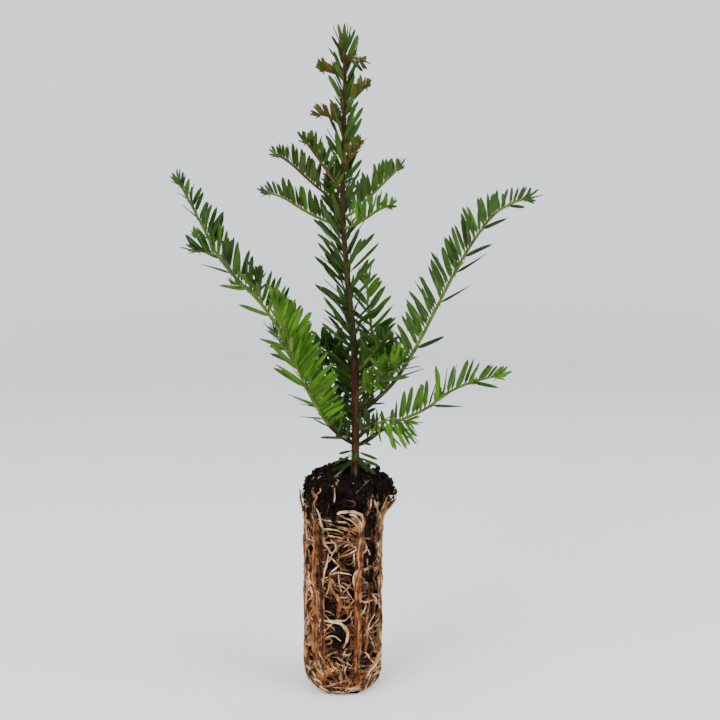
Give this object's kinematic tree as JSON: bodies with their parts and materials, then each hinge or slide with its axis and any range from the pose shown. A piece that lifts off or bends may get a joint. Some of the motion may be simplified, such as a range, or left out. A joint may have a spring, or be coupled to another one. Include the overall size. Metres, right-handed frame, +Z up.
{
  "type": "english yew plug plant",
  "caption": "Young English yew on a bare cell-grown root ball: an upright leading stem with side shoots of flat dark green needles in two ranks.",
  "frame": {"origin": "centre of the flat underside of the root ball", "axes": "+Z up along the root ball and stem, +X to the right and -Y towards the viewer of the picture"},
  "size_m": [0.2227, 0.1136, 0.383],
  "materials": {
    "peat": "matte",
    "roots": "matte",
    "bark": "matte",
    "needles": "satin"
  },
  "bodies": {
    "root": {"bough_back_low": "bark", "bough_left_front": "bark", "bough_left_long": "bark", "bough_right_droop": "bark", "bough_right_long": "bark", "bough_right_low": "bark", "crown_tip": "needles", "root_ball": "peat", "root_web": "roots", "spray_back_high": "needles", "spray_back_low": "needles", "spray_left_back": "needles", "spray_left_front": "needles", "spray_left_inner": "needles", "spray_left_long": "needles", "spray_right_droop": "needles", "spray_right_front": "needles", "spray_right_inner": "needles", "spray_right_long": "needles", "spray_right_low": "needles", "spray_right_mid": "needles", "spray_tuft_back": "needles", "spray_tuft_left_high": "needles", "spray_tuft_left_low": "needles", "spray_tuft_right_high": "needles", "spray_tuft_right_low": "needles", "spray_tuft_right_mid": "needles", "spray_upper_left_front": "needles", "spray_upper_left_low": "needles", "spray_upper_left_mid": "needles", "spray_upper_right_high": "needles", "spray_upper_right_low": "needles", "stem": "bark", "stem_needles_crown": "needles", "stem_needles_foot": "needles", "stem_needles_high": "needles", "stem_needles_low": "needles", "stem_needles_mid": "needles", "stem_needles_top": "needles"}
  },
  "joints": []
}
